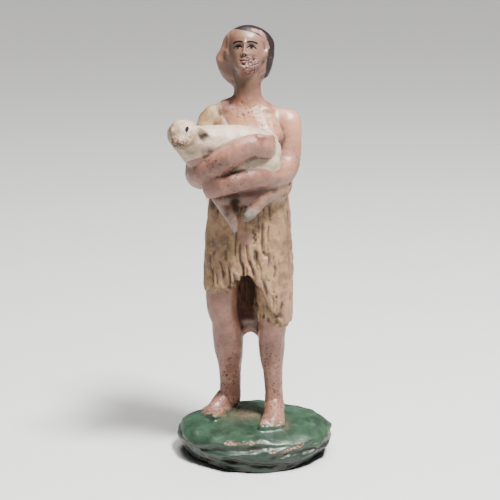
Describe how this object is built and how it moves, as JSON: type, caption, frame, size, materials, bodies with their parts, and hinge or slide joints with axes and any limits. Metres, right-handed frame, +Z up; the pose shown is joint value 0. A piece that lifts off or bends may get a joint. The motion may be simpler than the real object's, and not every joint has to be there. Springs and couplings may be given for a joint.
{
  "type": "nativity shepherd figurine",
  "caption": "Painted terracotta figurine of a standing barefoot shepherd in a hide tunic, holding a lamb in crossed arms, on a low rocky green base.",
  "frame": {"origin": "middle of the whole piece's bounding box, on the flat underside of the base", "axes": "+Z up the figure from the base to the crown, -Y the way the figure faces, +X to the viewer's right"},
  "size_m": [0.075, 0.0628, 0.2004],
  "materials": {
    "painted_terracotta": "moulded terracotta, hand-painted in flesh pink, ochre, off-white, dark brown and green, worn, pitted and part glossy"
  },
  "bodies": {
    "root": {"shepherd_figurine": "painted_terracotta"}
  },
  "joints": []
}
